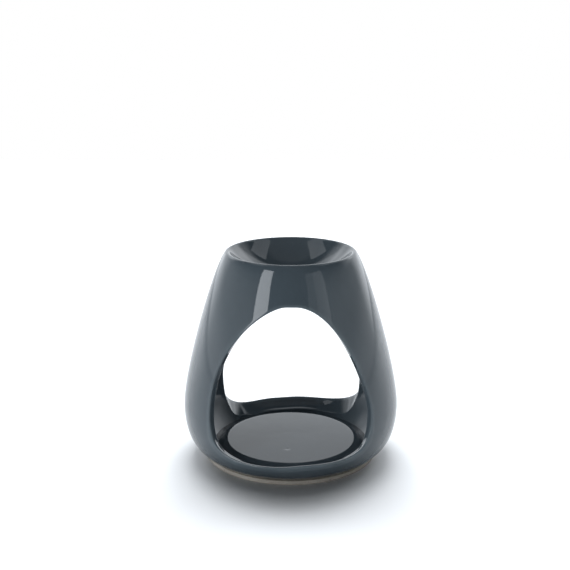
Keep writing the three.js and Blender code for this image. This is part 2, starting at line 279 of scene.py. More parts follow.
@dataclass(frozen=True)
class Form:
    """Sizes that several pieces share."""

    belly_radius: float = 50.8
    belly_height: float = 25.0
    lip_height: float = 98.9
    lip_crest_radius: float = 29.3
    lip_round: float = 1.6
    mouth_slope: float = 0.77
    heel_radius: float = 38.8
    heel_reach: float = 6.8
    heel_rise: float = 2.2
    belly_handle_down: float = 14.0
    belly_handle_up: float = 15.4
    shoulder_handle: float = 9.5
    wall: float = 4.5
    foot_height: float = 2.0
    slab_radius: float = 35.4
    floor_height: float = 4.4
    seat_flat_radius: float = 30.8
    seat_height: float = 6.5
    seat_radius: float = 37.0
    seat_fall: float = 2.0
    bowl_slope: float = 52.0
    bowl_height: float = 17.0
    bowl_handle: float = 4.0
    dish_depth: float = 13.0
    dish_thickness: float = 4.0
    dish_rim_radius: float = 26.5
    gallery_height: float = 89.0
    ceiling_height: float = 85.6
    around: int = 240

    @property
    def lip_centre(self) -> Pair:
        """Centre of the lip's round."""
        return self.lip_crest_radius, self.lip_height - self.lip_round

    @property
    def mouth_lean(self) -> float:
        """Angle above outwards, in degrees, at which the wall's outside points at the lip."""
        return math.degrees(math.atan(self.mouth_slope))

    @property
    def dish_radius(self) -> float:
        """Radius of the sphere whose cap is the dish, which touches the lip's round from inside."""
        radius, height = self.lip_centre
        drop = height - (self.lip_height - self.dish_depth)
        return (radius**2 + drop**2 - self.lip_round**2) / (2 * (drop + self.lip_round))

    @property
    def dish_centre(self) -> Pair:
        """Centre of that sphere, on the axis."""
        return 0.0, self.lip_height - self.dish_depth + self.dish_radius

    @property
    def lip_end(self) -> float:
        """Angle in degrees at which the lip's round runs over into the dish."""
        radius, height = self.lip_centre
        return 180 - math.degrees(math.atan2(self.dish_centre[1] - height, radius))

    @property
    def gallery_inside(self) -> float:
        """Radius at which the dish's underside passes the gallery's ledge."""
        under = self.dish_radius + self.dish_thickness
        return math.sqrt(under**2 - (self.dish_centre[1] - self.gallery_height) ** 2)

    @property
    def bowl_foot(self) -> Pair:
        """Where the inside of the wall meets the seat's border."""
        return self.seat_radius, self.seat_height - self.seat_fall

    def inside(self, steps: int = 400) -> Line:
        """The wall's inside: a cubic curve up from the seat's border, then the outside set in by the wall."""
        face = self.outside().inset(self.wall)
        length = face.at_height(np.array([self.bowl_height]))
        end = np.array([value[0] for value in face.at(length)])
        tangent = np.array([value[0] for value in face.tangent(length)])
        rise = math.radians(self.bowl_slope)
        leave = np.add(self.bowl_foot, self.bowl_handle * np.array([math.cos(rise), math.sin(rise)]))
        bowl = cubic([self.bowl_foot, leave, end - self.bowl_handle * tangent, end], steps)
        above = face.between(self.bowl_height, self.ceiling_height)
        return Line(joined(bowl, above.points))

    def outside(self, steps: int = 1500) -> Line:
        """Outside of the wall: heel to belly and belly to lip, each one cubic curve."""
        lean = math.radians(self.mouth_lean)
        end = np.add(self.lip_centre, self.lip_round * np.array([math.cos(lean), math.sin(lean)]))
        arrive = end + self.shoulder_handle * np.array([math.sin(lean), -math.cos(lean)])
        belly = (self.belly_radius, self.belly_height)
        heel = cubic(
            [
                (self.heel_radius, self.foot_height),
                (self.heel_radius + self.heel_reach, self.foot_height + self.heel_rise),
                (self.belly_radius, self.belly_height - self.belly_handle_down),
                belly,
            ],
            steps,
        )
        leave = (self.belly_radius, self.belly_height + self.belly_handle_up)
        shoulder = cubic([belly, leave, arrive, end], steps)
        return Line(joined(heel, shoulder))


@dataclass(frozen=True)
class Flank:
    """One side of an opening, from its crown out to its widest place and back in to the sill."""

    reach: float
    widest_height: float
    sill_height: float
    crown_handle: float
    flank_handle: float
    corner_drop: float
    corner_handle: float


@dataclass(frozen=True)
class Opening:
    """An opening's outline, as seen from the front, with x to the right and z up, and its cut's edges.

    The sponged edge reaches sill_edge over the outside at the sill. Over the inside it reaches inner_edge,
    and inner_sill_edge at the sill. The sill falls inwards by sill_fall and sinks by sill_hollow in its
    middle, less and less up to hollow_width to each side, and its corners fall by corner_fall more.
    """

    side: Side
    crown_height: float
    crown_flat: float
    sill_flat: float
    sill_fall: float
    left: Flank
    right: Flank
    sill_edge: float
    inner_edge: float
    inner_sill_edge: float
    corner_fall: float
    fall_start: float
    fall_end: float
    sill_hollow: float
    hollow_width: float = 27.0

    @property
    def _sill(self) -> float:
        """Height of the sill's higher end."""
        return max(self.left.sill_height, self.right.sill_height)

    def sill_share(self, height: np.ndarray) -> np.ndarray:
        """The sill's share at a height: smoothly from 0 at fall_end above the sill to 1 at fall_start."""
        share = np.clip((self._sill + self.fall_end - height) / (self.fall_end - self.fall_start), 0.0, 1.0)
        return share * share * (3 - 2 * share)

    def inner_height(self, height: np.ndarray) -> np.ndarray:
        """Height at which a cut leaves the inside: the sill falls inwards, and its corners fall most."""
        rise = np.clip((height - self._sill) / self.fall_end, 0.0, 1.0)
        deeper = 4 * self.corner_fall * rise * (1 - rise)
        return height - self.sill_fall * self.sill_share(height) - deeper

    def _half(self, flank: Flank, steps: int) -> np.ndarray:
        """From the crown's middle over a flank to the sill, x outwards: a level line and two cubic curves."""
        top, widest = self.crown_height, (flank.reach, flank.widest_height)
        crown = [(self.crown_flat, top), (self.crown_flat + flank.crown_handle, top)]
        low = flank.sill_height
        corner = [(self.sill_flat + flank.corner_handle, low), (self.sill_flat, low)]
        return joined(
            np.array([[0.0, top], [self.crown_flat, top]]),
            cubic([*crown, (flank.reach, flank.widest_height + flank.flank_handle), widest], steps),
            cubic([widest, (flank.reach, flank.widest_height - flank.corner_drop), *corner], steps),
        )

    def outline(self, steps: int = 300) -> np.ndarray:
        """The outline from the crown's middle, anticlockwise: left flank, sill, right flank and back.

        Args:
            steps: Steps of each curve.

        Returns:
            Points of x and z, the last one back at the first. The sill is one more cubic curve.
        """
        left = self._half(self.left, steps) * (-1, 1)
        right = self._half(self.right, steps)[::-1]
        sill = cubic([left[-1], (0.0, left[-1, 1]), (0.0, right[0, 1]), right[0]], steps)
        return joined(left, sill, right)


FRONT_OPENING = Opening(
    side=Side.FRONT,
    crown_height=81.8,
    crown_flat=1.8,
    sill_flat=11.0,
    sill_fall=3.8,
    left=Flank(
        reach=36.4,
        widest_height=29.9,
        sill_height=12.4,
        crown_handle=9.9,
        flank_handle=31.3,
        corner_drop=15.2,
        corner_handle=17.0,
    ),
    right=Flank(
        reach=36.4,
        widest_height=31.0,
        sill_height=13.6,
        crown_handle=18.7,
        flank_handle=11.0,
        corner_drop=16.3,
        corner_handle=17.0,
    ),
    sill_edge=3.45,
    inner_edge=1.4,
    inner_sill_edge=1.0,
    corner_fall=0.0,
    fall_start=4.0,
    fall_end=17.0,
    sill_hollow=0.0,
)
REAR_OPENING = Opening(
    side=Side.REAR,
    crown_height=82.2,
    crown_flat=3.0,
    sill_flat=9.9,
    sill_fall=4.1,
    left=Flank(
        reach=36.3,
        widest_height=26.9,
        sill_height=9.4,
        crown_handle=15.0,
        flank_handle=14.0,
        corner_drop=21.9,
        corner_handle=11.5,
    ),
    right=Flank(
        reach=36.9,
        widest_height=24.5,
        sill_height=9.9,
        crown_handle=15.0,
        flank_handle=18.6,
        corner_drop=11.3,
        corner_handle=18.3,
    ),
    sill_edge=2.95,
    inner_edge=1.1,
    inner_sill_edge=0.3,
    corner_fall=3.2,
    fall_start=4.0,
    fall_end=15.0,
    sill_hollow=0.5,
)


@dataclass(frozen=True)
class WallPanel:
    """Half of the wall, between the seams at the two sides, with an opening in its middle.

    One grid covers it. Its columns go round the opening, and its rows run from the panel's border over the
    outside to the opening, round its sponged edge, through the cut, round the inner edge and over the inside.
    The border's four corners lead to the points at corner_shares of the outline's length. Towards the edge
    the glaze runs thinner and paler, by rim_thin_and_highlight times the row's share of the way to the power
    rim_power:
    partly real, partly a painted highlight along the opening's rim.
    """

    form: Form
    opening: Opening
    outside: Line
    inside: Line
    knife_aim: float = 35.0
    edge_reach: float = 1.3
    edge_power: float = 2.5
    side_steps: int = 90
    outer_rows: int = 30
    edge_rows: int = 10
    cut_rows: int = 9
    inner_rows: int = 22
    crowding: float = 1.7
    rim_thin_and_highlight: float = 0.6
    rim_power: float = 60.0
    corner_shares: tuple[float, float, float, float] = (0.112, 0.36, 0.64, 0.888)

    @property
    def _counts(self) -> tuple[int, int, int, int]:
        """Columns along the top, one side, the bottom and the other side."""
        ring = self.form.around // 2
        return ring, self.side_steps, ring, self.side_steps

    def _outline(self) -> np.ndarray:
        """The outline's points, one a column, spread so that each corner of the border has one to go to."""
        line = self.opening.outline()
        along = np.concatenate([[0.0], np.cumsum(np.linalg.norm(np.diff(line, axis=0), axis=1))])
        first, second, third, fourth = self.corner_shares
        stops = np.array([fourth - 1, first, second, third, fourth])
        columns = np.concatenate([[0], np.cumsum(self._counts)])
        share = np.interp(np.arange(columns[-1]), columns, stops) % 1.0
        return np.stack([np.interp(share * along[-1], along, line[:, k]) for k in (0, 1)], axis=1)

    def _border(self, line: Line) -> np.ndarray:
        """The border on one face, a column each: angle from the opening's middle, and length on the line."""
        ring, side = self._counts[:2]
        across = math.pi / 2 - np.arange(ring) * (math.pi / ring)
        rise = line.length * (1 - np.arange(side) / side)
        right, low, high = math.pi / 2, np.zeros(ring), np.full(ring, line.length)
        return np.concatenate(
            [
                np.stack([across, high], axis=1),
                np.stack([np.full(side, -right), rise], axis=1),
                np.stack([-across, low], axis=1),
                np.stack([np.full(side, right), line.length - rise], axis=1),
            ]
        )

    def _surface(self, line: Line, angle: np.ndarray, length: np.ndarray) -> np.ndarray:
        """A face of the wall: (radius sin angle, radius cos angle towards the opening's side, height)."""
        radius, height = line.at(length)
        facing = self.opening.side.value
        return np.stack([radius * np.sin(angle), facing * radius * np.cos(angle), height], axis=-1)

    @staticmethod
    def _away(angle: np.ndarray, length: np.ndarray, radius: np.ndarray) -> np.ndarray:
        """Direction in the face, square to the outline and away from it, as change of angle and of length."""
        across = radius * (np.roll(angle, -1) - np.roll(angle, 1))
        along = np.roll(length, -1) - np.roll(length, 1)
        size = np.hypot(across, along)
        return np.stack([along / size / radius, -across / size], axis=-1)

    def patch(self) -> Patch:
        """The whole grid.

        Returns:
            Its rows: the outside, each point on a straight way in angle and length from the border to the
            edge; the edge, where the way along the face shrinks as (1 - t) to a power while the way along the
            knife grows as t to that power; the cut, straight but for the sill's hollow of 4 s (1 - s); the
            same edge backwards; and the inside as the outside. The rear's columns run backwards, because it
            mirrors the front.
        """
        opening, facing = self.opening, self.opening.side.value
        x, height = self._outline().T
        length = self.outside.at_height(height)
        radius = self.outside.at(length)[0]
        angle = np.arcsin(x / radius)
        spot = self._surface(self.outside, angle, length)
        away = self._away(angle, length, radius)

        knife = np.array([0.0, -facing * self.knife_aim]) - spot[:, :2]
        knife /= np.linalg.norm(knife, axis=1, keepdims=True)
        inner_length = self.inside.at_height(opening.inner_height(height))
        inner_radius = self.inside.at(inner_length)[0]
        along_knife = np.einsum("ij,ij->i", spot[:, :2], knife)
        through = -along_knife - np.sqrt(along_knife**2 - radius**2 + inner_radius**2)
        inner_spot = spot[:, :2] + through[:, None] * knife
        inner_angle = np.arctan2(inner_spot[:, 0], facing * inner_spot[:, 1])
        inner_away = self._away(inner_angle, inner_length, inner_radius)
        knife = self._surface(self.inside, inner_angle, inner_length) - spot
        knife /= np.linalg.norm(knife, axis=1, keepdims=True)

        face = np.stack([angle, length], axis=1)
        inner_face = np.stack([inner_angle, inner_length], axis=1)
        low = opening.sill_share(height)[:, None]
        reach = self.edge_reach + (opening.sill_edge - self.edge_reach) * low
        inner_reach = opening.inner_edge + (opening.inner_sill_edge - opening.inner_edge) * low
        start, inner_start = face + reach * away, inner_face + inner_reach * inner_away
        share = 1 - (1 - np.linspace(0.0, 1.0, self.outer_rows + 1)[:-1, None, None]) ** self.crowding
        border, inner_border = self._border(self.outside), self._border(self.inside)
        outer_way = border + (start - border) * share
        # Near the opening the outside turns paler: glaze running thinner, and partly a painted highlight
        # along the rim.
        outer_thin_and_highlight = self.rim_thin_and_highlight * share.ravel() ** self.rim_power
        outer = self._surface(self.outside, outer_way[..., 0], outer_way[..., 1])

        turn = np.linspace(0.0, 1.0, self.edge_rows + 1)[:, None, None]
        back, ahead = (1 - turn) ** self.edge_power, turn**self.edge_power
        edge_way = face + reach * back * away
        edge = self._surface(self.outside, edge_way[..., 0], edge_way[..., 1]) + reach * ahead * knife
        inner_way = inner_face + inner_reach * ahead * inner_away
        inner_edge = self._surface(self.inside, inner_way[..., 0], inner_way[..., 1])
        inner_edge -= inner_reach * back * knife
        cut_share = np.linspace(0.0, 1.0, self.cut_rows + 2)[1:-1, None, None]
        cut = edge[-1] + (inner_edge[0] - edge[-1]) * cut_share
        middle = low.ravel() * np.clip(1 - (x / opening.hollow_width) ** 2, 0.0, 1.0)
        cut[..., 2] -= opening.sill_hollow * middle * (4 * cut_share * (1 - cut_share))[..., 0]

        share = np.linspace(0.0, 1.0, self.inner_rows + 1)[1:, None, None] ** self.crowding
        inner_way = inner_start + (inner_border - inner_start) * share
        inner = self._surface(self.inside, inner_way[..., 0], inner_way[..., 1])
        rows = np.concatenate([outer, edge, cut, inner_edge, inner])[:, ::-facing]
        # The sponged edges are palest at their crest: glaze running thinner, and partly a painted highlight.
        crest = np.sin(math.pi * turn.ravel()) ** 2
        edge_thin_and_highlight = self.rim_thin_and_highlight + (1 - self.rim_thin_and_highlight) * crest
        thin_and_highlight = np.concatenate([outer_thin_and_highlight, edge_thin_and_highlight, np.zeros(len(cut)), crest, np.zeros(len(inner))])
        return grid_patch(rows, np.repeat(thin_and_highlight[:, None], rows.shape[1], axis=1))


# Finishes


class Nodes:
    """A node tree that is being filled."""

    def __init__(self, tree: bpy.types.NodeTree) -> None:
        """Takes the tree."""
        self.tree = tree

    def add(self, kind: str, **settings: object) -> bpy.types.Node:
        """Adds a node of a kind.

        Args:
            kind: The node's type name.
            settings: Its properties, or its inputs by name with spaces as underscores.

        Returns:
            The node.
        """
        node = self.tree.nodes.new(kind)
        for name, value in settings.items():
            if hasattr(node, name):
                setattr(node, name, value)
            else:
                node.inputs[name.replace("_", " ")].default_value = value
        return node

    def link(self, source: Socket, target: Socket) -> None:
        """Joins an output to an input."""
        self.tree.links.new(source, target)

    def put(self, value: object, target: Socket) -> None:
        """Gives an input another socket's value, or one of its own."""
        if isinstance(value, Socket):
            self.link(value, target)
        else:
            target.default_value = value

    def mixed(self, factor: Socket, first: Triple | Socket, second: Triple | Socket) -> Socket:
        """A colour that goes from the first to the second with a factor."""
        node = self.add("ShaderNodeMix", data_type="RGBA")
        self.link(factor, node.inputs[0])
        for value, target in ((first, node.inputs[6]), (second, node.inputs[7])):
            self.put((*value, 1.0) if isinstance(value, tuple) else value, target)
        return node.outputs[2]

    def maths(self, operation: str, *values: float | Socket) -> Socket:
        """A Math node's result."""
        node = self.add("ShaderNodeMath", operation=operation)
        for value, target in zip(values, node.inputs):
            self.put(value, target)
        return node.outputs[0]

    def product(self, first: float | Socket, *others: float | Socket) -> Socket:
        """All the values multiplied."""
        for other in others:
            first = self.maths("MULTIPLY", first, other)
        return first

    def ranged(self, value: Socket, low: float, high: float, to: Pair = (0.0, 1.0)) -> Socket:
        """A value taken smoothly from one range to another and held at its ends."""
        node = self.add("ShaderNodeMapRange", interpolation_type="SMOOTHSTEP")
        self.link(value, node.inputs[0])
        for target, number in zip(node.inputs[1:5], (low, high, *to)):
            target.default_value = number
        return node.outputs[0]

    def noise(self, place: Socket, scale: float, detail: float, roughness: float = 0.5) -> Socket:
        """A Noise Texture's value at a place."""
        node = self.add("ShaderNodeTexNoise", Scale=scale, Detail=detail, Roughness=roughness)
        self.link(place, node.inputs["Vector"])
        return node.outputs["Fac"]

    def spots(self, place: Socket, scale: float, channel: int, few: Pair, size: Pair) -> Socket:
        """Round spots in a few cells of a Voronoi Texture.

        Args:
            place: Where the texture is read.
            scale: Cells in a metre.
            channel: Which part of a cell's random colour chooses it.
            few: Values of that part from which a cell has no spot and a full one.
            size: Distances within which a spot is full and beyond which there is none, as shares of a cell.

        Returns:
            1 in a spot and 0 elsewhere.
        """
        cells = self.add("ShaderNodeTexVoronoi", feature="F1", Scale=scale, Randomness=1.0)
        self.link(place, cells.inputs["Vector"])
        random = self.add("ShaderNodeSeparateColor")
        self.link(cells.outputs["Color"], random.inputs[0])
        near = self.ranged(cells.outputs["Distance"], *size, (1.0, 0.0))
        return self.product(self.ranged(random.outputs[channel], *few), near)

    def raise_surface(self, shader: bpy.types.Node, height: Socket) -> None:
        """Bumps a shader's surface by a height in metres."""
        node = self.add("ShaderNodeBump", Strength=1.0, Distance=1.0)
        self.link(height, node.inputs["Height"])
        self.link(node.outputs["Normal"], shader.inputs["Normal"])


Group = tuple[Nodes, bpy.types.Node, bpy.types.Node]
VECTOR, FLOAT = "NodeSocketVector", "NodeSocketFloat"


def new_group(name: str, inputs: dict[str, tuple[str, float | None]], outputs: dict[str, str]) -> Group:
    """A shader node group with named sockets.

    Args:
        name: The group's name.
        inputs: Each input's name with its socket type and its default, or None.
        outputs: Each output's name with its socket type.

    Returns:
        The group's nodes to fill, its input node and its output node.
    """
    tree = bpy.data.node_groups.new(name, "ShaderNodeTree")
    for socket, (kind, default) in inputs.items():
        made = tree.interface.new_socket(socket, in_out="INPUT", socket_type=kind)
        if default is not None:
            made.default_value = default
    for socket, kind in outputs.items():
        tree.interface.new_socket(socket, in_out="OUTPUT", socket_type=kind)
    nodes = Nodes(tree)
    return nodes, nodes.add("NodeGroupInput"), nodes.add("NodeGroupOutput")


def new_material(name: str) -> tuple[Material, Nodes, bpy.types.Node]:
    """A material, its nodes to fill and its Principled shader."""
    made = bpy.data.materials.new(name)
    made.use_nodes = True
    return made, Nodes(made.node_tree), made.node_tree.nodes["Principled BSDF"]


@dataclass(frozen=True)
class GlazeFlow:
    """How a glaze lies. Scales count features in a metre, and heights are in metres."""

    drift_scale: float = 38.0
    drift_range: Pair = (0.25, 0.75)
    ripple_scale: float = 160.0
    ripple_height: float = 0.000012
    swell_scale: float = 55.0
    swell_height: float = 0.00004
    line_scales: Triple = (5.0, 5.0, 260.0)
    line_height: float = 0.000012
    pinhole_scale: float = 190.0
    pinhole_few: Pair = (0.965, 0.97)
    pinhole_size: Pair = (0.03, 0.075)
    pinhole_depth: float = 0.00006

    def group(self) -> Tree:
        """A slow drift of the glaze's depth, throwing lines and a fine ripple in its skin, and pinholes.

        Returns:
            The group. Depth is about 0.5 where the glaze is as thick as usual, Height is in metres, and
            Pinhole is 1 in a pinhole.
        """
        nodes, given, out = new_group(
            "glaze_flow",
            {"Place": (VECTOR, None)} | dict.fromkeys(("Ripple", "Throwing", "Pinholes"), (FLOAT, 1.0)),
            {"Depth": FLOAT, "Height": FLOAT, "Pinhole": FLOAT},
        )
        place = given.outputs["Place"]
        drift = nodes.noise(place, self.drift_scale, detail=3.0, roughness=0.55)
        nodes.link(nodes.ranged(drift, *self.drift_range), out.inputs["Depth"])
        spots = nodes.spots(place, self.pinhole_scale, 0, self.pinhole_few, self.pinhole_size)
        pinhole = nodes.product(spots, given.outputs["Pinholes"])
        nodes.link(pinhole, out.inputs["Pinhole"])

        stretch = nodes.add("ShaderNodeMapping")
        stretch.inputs["Scale"].default_value = self.line_scales
        nodes.link(place, stretch.inputs["Vector"])
        lines = nodes.noise(stretch.outputs["Vector"], 1.0, detail=2.0, roughness=0.6)
        ripple = nodes.noise(place, self.ripple_scale, detail=2.0, roughness=0.45)
        swell = nodes.noise(place, self.swell_scale, detail=1.0, roughness=0.4)
        height = nodes.product(ripple, self.ripple_height, given.outputs["Ripple"])
        height = nodes.maths("MULTIPLY_ADD", swell, self.swell_height, height)
        height = nodes.maths("ADD", height, nodes.product(lines, self.line_height, given.outputs["Throwing"]))
        nodes.link(nodes.maths("MULTIPLY_ADD", pinhole, -self.pinhole_depth, height), out.inputs["Height"])
        return nodes.tree


@dataclass(frozen=True)
class ClayGrain:
    """How fired clay without glaze looks close up. Scales count features in a metre."""

    toast_scale: float = 60.0
    toast_share: float = 0.55
    grog_scale: float = 2600.0
    grog_share: float = 0.45
    grog_height: float = 0.00006
    speck_scale: float = 900.0
    speck_few: Pair = (0.9, 0.92)
    speck_size: Pair = (0.15, 0.35)

    def group(self) -> Tree:
        """Fine grog, small darker specks and a broad toasting.

        Returns:
            The group. Tone is from 0 to 1, Speck is 1 in a dark speck, and Height is in metres.
        """
        nodes, given, out = new_group(
            "clay_grain",
            {"Place": (VECTOR, None), "Coarseness": (FLOAT, 1.0)},
            {"Tone": FLOAT, "Speck": FLOAT, "Height": FLOAT},
        )
        place = given.outputs["Place"]
        toast = nodes.noise(place, self.toast_scale, detail=4.0, roughness=0.6)
        grog = nodes.noise(place, self.grog_scale, detail=3.0, roughness=0.7)
        tone = nodes.maths("MULTIPLY_ADD", grog, self.grog_share, nodes.product(toast, self.toast_share))
        nodes.link(tone, out.inputs["Tone"])
        specks = nodes.spots(place, self.speck_scale, 1, self.speck_few, self.speck_size)
        nodes.link(specks, out.inputs["Speck"])
        nodes.link(nodes.product(grog, self.grog_height, given.outputs["Coarseness"]), out.inputs["Height"])
        return nodes.tree


@dataclass(frozen=True)
class ClayFinish:
    """Fired, unglazed clay."""

    light: Triple = (0.49, 0.46, 0.405)
    dark: Triple = (0.33, 0.295, 0.25)
    speck: Triple = (0.10, 0.07, 0.05)
    tone_range: Pair = (0.32, 0.68)
    coarseness: float = 1.0
    roughness: float = 0.8

    def dress(self, nodes: Nodes, grain_group: Tree, place: Socket) -> tuple[Socket, Socket]:
        """Adds the clay's colour and height to a material.

        Args:
            nodes: The material's nodes.
            grain_group: The clay's grain.
            place: Object coordinates.

        Returns:
            The colour and the height.
        """
        grain = nodes.add("ShaderNodeGroup", node_tree=grain_group, Coarseness=self.coarseness)
        nodes.link(place, grain.inputs["Place"])
        colour = nodes.mixed(nodes.ranged(grain.outputs["Tone"], *self.tone_range), self.dark, self.light)
        return nodes.mixed(grain.outputs["Speck"], colour, self.speck), grain.outputs["Height"]

    def material(self, name: str, grain_group: Tree) -> Material:
        """The bare clay as a material of its own."""
        made, nodes, shader = new_material(name)
        place = nodes.add("ShaderNodeTexCoord").outputs["Object"]
        colour, height = self.dress(nodes, grain_group, place)
        nodes.link(colour, shader.inputs["Base Color"])
        nodes.raise_surface(shader, height)
        shader.inputs["Roughness"].default_value = self.roughness
        return made


@dataclass(frozen=True)
class GlazeFinish:
    """A glossy slate glaze that stops just above the foot, paler where it runs thinner on an edge; that paler
    edge is partly a painted highlight.
    """

    deep: Triple = (0.073, 0.094, 0.110)
    usual: Triple = (0.083, 0.106, 0.123)
    # Paler colour where the glaze runs thinner on edges and the lip, partly a painted highlight.
    thin_and_highlight: Triple = (0.150, 0.185, 0.205)
    thin_and_highlight_range: Pair = (0.35, 0.8)
    roughness: float = 0.05
    pinhole_roughness: float = 0.5
    thickness: float = 0.1
    stop_height: float = 2.75
    stop_wander: float = 0.22
    stop_soft: float = 0.05
    wander_scale: float = 75.0
    ripple: float = 1.0
    throwing: float = 1.0
    pinholes: float = 1.0

    def material(self, name: str, flow_group: Tree, grain_group: Tree, clay: ClayFinish) -> Material:
        """Makes the glaze over the clay.

        Args:
            name: The material's name.
            flow_group: How the glaze lies.
            grain_group: The clay's grain.
            clay: The clay that shows below the glaze.

        Returns:
            The material.
        """
        made, nodes, shader = new_material(name)
        place = nodes.add("ShaderNodeTexCoord").outputs["Object"]
        flow = nodes.add(
            "ShaderNodeGroup",
            node_tree=flow_group,
            Ripple=self.ripple,
            Throwing=self.throwing,
            Pinholes=self.pinholes,
        )
        nodes.link(place, flow.inputs["Place"])
        clay_colour, clay_height = clay.dress(nodes, grain_group, place)

        # Where the mesh marks the glaze as thinner, the colour turns pale: partly real, partly a painted
        # highlight on edges and the lip.
        edge = nodes.add("ShaderNodeAttribute", attribute_name=THIN_AND_HIGHLIGHT)
        depth = flow.outputs["Depth"]
        thin_and_highlight_mask = nodes.product(edge.outputs["Fac"], nodes.ranged(depth, 0.0, 1.0, self.thin_and_highlight_range))
        colour = nodes.mixed(thin_and_highlight_mask, nodes.mixed(depth, self.deep, self.usual), self.thin_and_highlight)

        split = nodes.add("ShaderNodeSeparateXYZ")
        nodes.link(place, split.inputs[0])
        wander = nodes.noise(place, self.wander_scale, detail=2.0)
        level = nodes.maths("MULTIPLY_ADD", wander, 2 * self.stop_wander * MM, -self.stop_wander * MM)
        level = nodes.maths("ADD", level, split.outputs["Z"])
        low, high = (self.stop_height - self.stop_soft) * MM, (self.stop_height + self.stop_soft) * MM
        bare = nodes.ranged(level, low, high, (1.0, 0.0))

        nodes.link(nodes.mixed(bare, colour, clay_colour), shader.inputs["Base Color"])
        rough = nodes.maths("MULTIPLY_ADD", flow.outputs["Pinhole"], self.pinhole_roughness, self.roughness)
        rough = nodes.maths("MULTIPLY_ADD", bare, clay.roughness - self.roughness, rough)
        nodes.link(rough, shader.inputs["Roughness"])
        glazed = nodes.maths("SUBTRACT", 1.0, bare)
        height = nodes.maths("MULTIPLY_ADD", glazed, self.thickness * MM, flow.outputs["Height"])
        nodes.raise_surface(shader, nodes.maths("MULTIPLY_ADD", clay_height, bare, height))
        return made


@dataclass
class Finishes:
    """The finishes of all pieces."""

    wall: Material
    seat: Material
    clay: Material

    @classmethod
    def made(cls) -> Finishes:
        """Makes the groups once and the materials from them."""
        flow, grain, clay = GlazeFlow().group(), ClayGrain().group(), ClayFinish()
        seat_glaze = GlazeFinish(roughness=0.09, ripple=1.5, throwing=0.0)
        return cls(
            wall=GlazeFinish().material("slate_glaze", flow, grain, clay),
            seat=seat_glaze.material("seat_glaze", flow, grain, clay),
            clay=clay.material("bare_foot_clay", grain),
        )


# Pieces


def settled(piece: Object, node: str, material: Material) -> Object:
    """Gives a piece its finish and says which body and node it belongs to."""
    piece.data.materials.append(material)
    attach(piece, BODY)
    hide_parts(node)
    log.info("%s: %d points, stands for %s", piece.name, len(piece.data.vertices), node)
    return piece


@dataclass
class BurnerWall:
    """The wall with its lip, the gallery that carries the dish, and the two openings."""

    form: Form
    ceiling_cove: float = 2.0
    panel_foot: float = 4.65
    lip_steps: int = 26
    round_steps: int = 8

    def build(self, finishes: Finishes) -> Object:
        """Makes the wall of two panels, a band round the mouth and a band round the bottom."""
        form = self.form
        outside, bowl = form.outside(), form.inside()
        inside = bowl.between(self.panel_foot, form.ceiling_height - self.ceiling_cove)
        openings = (FRONT_OPENING, REAR_OPENING)
        panels = [WallPanel(form, opening, outside, inside).patch() for opening in openings]
        made = made_mesh("glazed_wall", [*panels, self._mouth(outside, inside), self._bottom(outside, bowl)])
        return settled(made, "body_shell", finishes.wall)

    def _mouth(self, outside: Line, inside: Line) -> Patch:
        """Over the lip, down to the gallery, round it and up to the inside of the wall."""
        form = self.form
        sphere = form.dish_radius
        lip = arc(form.lip_centre, form.lip_round, form.mouth_lean, form.lip_end, self.lip_steps)
        touch = math.degrees(math.asin(lip[-1, 0] / sphere))
        seam = math.degrees(math.asin(form.dish_rim_radius / sphere))
        slope = crisp_end(arc(form.dish_centre, sphere, touch - 90, seam - 90, self.round_steps))
        wall_top = inside.points[-1]
        bore = form.gallery_inside
        cove_centre = (wall_top[0] - self.ceiling_cove, wall_top[1])
        line = joined(
            outside.points[-1:],
            lip,
            slope,
            np.array([[form.dish_rim_radius, form.gallery_height], [bore, form.gallery_height]]),
            np.array([[bore, form.ceiling_height]]),
            arc(cove_centre, self.ceiling_cove, 90, 0, self.round_steps),
            wall_top[None],
        )
        # The lip's crest is paler: glaze running thinner, and partly a painted highlight along the rim.
        thin_and_highlight = np.zeros(len(line))
        thin_and_highlight[1 : 1 + self.lip_steps] = np.sin(np.linspace(0, math.pi, self.lip_steps)) ** 2
        return turned_patch(line, form.around, thin_and_highlight)

    def _bottom(self, outside: Line, bowl: Line) -> Patch:
        """From the heel in under the body, up beside the floor and the seat, and out over the bowl.

        The line is turned from its end, so that its faces are wound as those of the panels are.
        """
        form = self.form
        foot = bowl.between(form.bowl_foot[1], self.panel_foot)
        along = np.linspace(0.0, foot.length, self.round_steps + 1)
        line = joined(
            outside.points[:1],
            np.array([[form.slab_radius, form.foot_height], [form.slab_radius, form.floor_height]]),
            np.array([[form.seat_radius, form.floor_height]]),
            np.stack(foot.at(along), axis=1),
        )
        return turned_patch(line[::-1], form.around)


@dataclass
class OilDish:
    """The bowl in the mouth, which holds the oil."""

    form: Form
    bowl_steps: int = 60
    under_steps: int = 24

    def build(self, finishes: Finishes) -> Object:
        """Turns the bowl's inside, its rim and flange, and its underside."""
        form = self.form
        sphere, under = form.dish_radius, form.dish_radius + form.dish_thickness
        rim = math.degrees(math.asin(form.dish_rim_radius / sphere))
        flange = math.degrees(math.asin(form.gallery_inside / under))
        line = joined(
            crisp_end(arc(form.dish_centre, sphere, -90, rim - 90, self.bowl_steps)),
            np.array([[form.dish_rim_radius, form.gallery_height]]),
            arc(form.dish_centre, under, flange - 90, -90, self.under_steps),
        )
        line[[0, -1], 0] = 0.0
        made = made_mesh("oil_dish_bowl", [turned_patch(line, form.around)])
        return settled(made, "oil_dish", finishes.wall)


@dataclass
class BurnerFloor:
    """The slab that closes the bottom of the wall."""

    form: Form
    rings: int = 12

    def build(self, finishes: Finishes) -> Object:
        """Turns the slab's top, its edge and its underside."""
        form = self.form
        out = np.linspace(0.0, form.slab_radius, self.rings + 1)
        top = np.stack([out, np.full_like(out, form.floor_height)], axis=1)
        under = np.stack([out[::-1], np.full_like(out, form.foot_height)], axis=1)
        made = made_mesh("burner_floor", [turned_patch(joined(top, under), form.around)])
        return settled(made, "floor_slab", finishes.wall)


